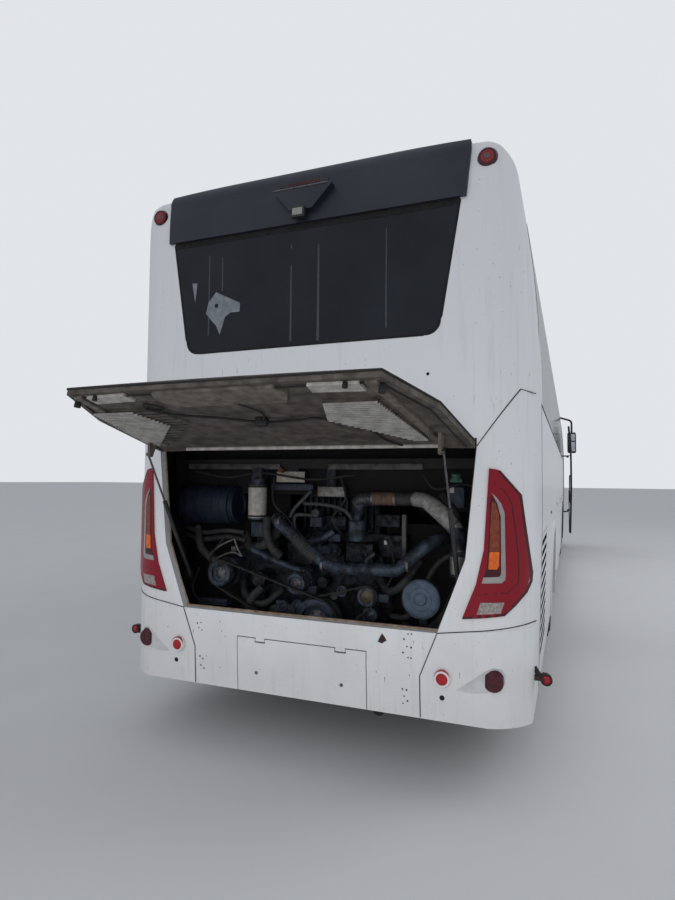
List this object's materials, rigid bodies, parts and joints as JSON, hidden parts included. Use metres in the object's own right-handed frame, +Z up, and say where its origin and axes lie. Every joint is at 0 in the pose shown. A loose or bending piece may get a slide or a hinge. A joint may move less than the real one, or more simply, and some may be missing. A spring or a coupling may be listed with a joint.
{
  "type": "coach bus",
  "caption": "High-deck two-axle touring coach with open engine lid, open front door, steered front wheels, twin rear wheels and top-hinged luggage flaps.",
  "frame": {"origin": "on the ground under the middle of the whole outline", "axes": "+X to the bus's right-hand side, +Y forward, +Z up"},
  "size_m": [3.12, 14.17, 3.6039],
  "materials": {
    "white_paint": "satin",
    "black_trim": "satin",
    "dark_glass": "gloss",
    "lamp_red": "gloss",
    "lamp_clear": "gloss",
    "spoiler_grey": "satin",
    "floor_lining": "matte",
    "frame_steel": "matte",
    "seat_cloth": "matte",
    "dash_plastic": "matte",
    "engine_iron": "matte",
    "pulley_metal": "satin",
    "belt_rubber": "matte",
    "engine_blue": "satin",
    "radiator_metal": "matte",
    "silencer_steel": "matte",
    "axle_iron": "matte",
    "lining_grey": "matte",
    "rod_chrome": "polished",
    "rim_steel": "satin",
    "tyre": "matte"
  },
  "bodies": {
    "root": {"rear_cap": "white_paint", "rear_glass": "dark_glass", "rear_corners": "white_paint", "rear_bumper": "white_paint", "rear_lamps": "lamp_red", "spoiler": "spoiler_grey", "roof_panel": "white_paint", "roof_fittings": "white_paint", "side_wall_left": "white_paint", "side_wall_right": "white_paint", "glazing": "dark_glass", "lower_panels": "white_paint", "front_mask": "white_paint", "headlamps": "lamp_clear", "front_bumper": "white_paint", "mirrors": "black_trim", "cabin_floor": "floor_lining", "bay_box": "frame_steel", "chassis_rails": "frame_steel", "engine_cradle": "frame_steel", "seats": "seat_cloth", "driver_place": "dash_plastic", "engine_block": "engine_iron", "engine_pulleys": "pulley_metal", "drive_belts": "belt_rubber", "engine_fittings": "engine_blue", "radiator": "radiator_metal", "silencer": "silencer_steel", "front_axle": "axle_iron", "rear_axle": "axle_iron", "air_springs": "belt_rubber"},
    "engine_lid": {"engine_lid": "white_paint", "lid_lining": "lining_grey"},
    "tow_flap": {"tow_flap": "white_paint"},
    "grille_flap": {"grille_flap": "white_paint"},
    "service_flap": {"service_flap": "white_paint"},
    "door_pillar": {"door_pillar": "black_trim"},
    "door_leaf": {"door_leaf": "black_trim", "door_glass": "dark_glass"},
    "bay_flap_left_1": {"bay_flap_left_1": "white_paint"},
    "bay_flap_left_2": {"bay_flap_left_2": "white_paint"},
    "bay_flap_left_3": {"bay_flap_left_3": "white_paint"},
    "strut_tube_left": {"strut_tube_left": "black_trim"},
    "strut_rod_left": {"strut_rod_left": "rod_chrome"},
    "knuckle_left": {"knuckle_left": "axle_iron"},
    "front_wheel_left": {"front_rim_left": "rim_steel", "front_tyre_left": "tyre"},
    "rear_wheels_left": {"rear_rims_left": "rim_steel", "rear_tyres_left": "tyre"},
    "bay_flap_right_1": {"bay_flap_right_1": "white_paint"},
    "bay_flap_right_2": {"bay_flap_right_2": "white_paint"},
    "bay_flap_right_3": {"bay_flap_right_3": "white_paint"},
    "strut_tube_right": {"strut_tube_right": "black_trim"},
    "strut_rod_right": {"strut_rod_right": "rod_chrome"},
    "knuckle_right": {"knuckle_right": "axle_iron"},
    "front_wheel_right": {"front_rim_right": "rim_steel", "front_tyre_right": "tyre"},
    "rear_wheels_right": {"rear_rims_right": "rim_steel", "rear_tyres_right": "tyre"}
  },
  "joints": [
    {"name": "lid_hinge", "type": "hinge", "parent": "root", "child": "engine_lid", "pos_m": [0, -6.12274, 1.772], "axis": [1, 0, 0], "range_deg": [0, 102.7]},
    {"name": "strut_swing_left", "type": "hinge", "parent": "root", "child": "strut_tube_left", "pos_m": [-0.865, -5.94474, 0.95], "axis": [1, 0, 0], "range_deg": [-24.38, 0]},
    {"name": "strut_slide_left", "type": "slide", "parent": "strut_tube_left", "child": "strut_rod_left", "axis": [0, -0.5009, 0.8655], "range_m": [-0.29066, 0]},
    {"name": "strut_swing_right", "type": "hinge", "parent": "root", "child": "strut_tube_right", "pos_m": [0.865, -5.94474, 0.95], "axis": [1, 0, 0], "range_deg": [-24.38, 0]},
    {"name": "strut_slide_right", "type": "slide", "parent": "strut_tube_right", "child": "strut_rod_right", "axis": [0, -0.5009, 0.8655], "range_m": [-0.29066, 0]},
    {"name": "tow_flap_hinge", "type": "hinge", "parent": "root", "child": "tow_flap", "pos_m": [0, -6.12424, 0.64], "axis": [1, 0, 0], "range_deg": [-95, 0]},
    {"name": "grille_flap_hinge", "type": "hinge", "parent": "root", "child": "grille_flap", "pos_m": [1.25581, -4.99474, 1.235], "axis": [0, 1, 0], "range_deg": [-85, 0]},
    {"name": "service_flap_hinge", "type": "hinge", "parent": "root", "child": "service_flap", "pos_m": [-1.25581, -4.42974, 1.235], "axis": [0, 1, 0], "range_deg": [0, 85]},
    {"name": "bay_flap_hinge_left_1", "type": "hinge", "parent": "root", "child": "bay_flap_left_1", "pos_m": [-1.25581, -1.09307, 1.235], "axis": [0, 1, 0], "range_deg": [0, 85]},
    {"name": "bay_flap_hinge_left_2", "type": "hinge", "parent": "root", "child": "bay_flap_left_2", "pos_m": [-1.25581, 0.71026, 1.235], "axis": [0, 1, 0], "range_deg": [0, 85]},
    {"name": "bay_flap_hinge_left_3", "type": "hinge", "parent": "root", "child": "bay_flap_left_3", "pos_m": [-1.25581, 2.5136, 1.235], "axis": [0, 1, 0], "range_deg": [0, 85]},
    {"name": "bay_flap_hinge_right_1", "type": "hinge", "parent": "root", "child": "bay_flap_right_1", "pos_m": [1.25581, -1.09307, 1.235], "axis": [0, 1, 0], "range_deg": [-85, 0]},
    {"name": "bay_flap_hinge_right_2", "type": "hinge", "parent": "root", "child": "bay_flap_right_2", "pos_m": [1.25581, 0.71026, 1.235], "axis": [0, 1, 0], "range_deg": [-85, 0]},
    {"name": "bay_flap_hinge_right_3", "type": "hinge", "parent": "root", "child": "bay_flap_right_3", "pos_m": [1.25581, 2.5136, 1.235], "axis": [0, 1, 0], "range_deg": [-85, 0]},
    {"name": "door_swing", "type": "hinge", "parent": "root", "child": "door_pillar", "pos_m": [1.03959, 6.07822, 1.3], "axis": [0, 0, 1], "range_deg": [-125.7, 0]},
    {"name": "door_leaf_pivot", "type": "hinge", "parent": "door_pillar", "child": "door_leaf", "pos_m": [1.35628, 6.46514, 1.3], "axis": [0, 0, 1], "range_deg": [0, 125.7]},
    {"name": "steer_left", "type": "hinge", "parent": "root", "child": "knuckle_left", "pos_m": [-0.87, 4.13526, 0.505], "axis": [0, 0, 1], "range_deg": [-42, 42]},
    {"name": "front_wheel_turn_left", "type": "hinge", "parent": "knuckle_left", "child": "front_wheel_left", "pos_m": [-1.068, 4.13526, 0.505], "axis": [1, 0, 0], "continuous": true},
    {"name": "rear_wheels_turn_left", "type": "hinge", "parent": "root", "child": "rear_wheels_left", "pos_m": [-1.068, -2.71474, 0.505], "axis": [1, 0, 0], "continuous": true},
    {"name": "steer_right", "type": "hinge", "parent": "root", "child": "knuckle_right", "pos_m": [0.87, 4.13526, 0.505], "axis": [0, 0, 1], "range_deg": [-42, 42]},
    {"name": "front_wheel_turn_right", "type": "hinge", "parent": "knuckle_right", "child": "front_wheel_right", "pos_m": [1.068, 4.13526, 0.505], "axis": [1, 0, 0], "continuous": true},
    {"name": "rear_wheels_turn_right", "type": "hinge", "parent": "root", "child": "rear_wheels_right", "pos_m": [1.068, -2.71474, 0.505], "axis": [1, 0, 0], "continuous": true}
  ],
  "couplings": [
    {"joint": "strut_swing_left", "follows": "lid_hinge", "ratio": -0.23728},
    {"joint": "strut_slide_left", "follows": "lid_hinge", "m_per_rad": -0.1621},
    {"joint": "strut_swing_right", "follows": "lid_hinge", "ratio": -0.23728},
    {"joint": "strut_slide_right", "follows": "lid_hinge", "m_per_rad": -0.1621},
    {"joint": "door_leaf_pivot", "follows": "door_swing", "ratio": -1},
    {"joint": "steer_left", "follows": "steer_right", "ratio": 1}
  ]
}
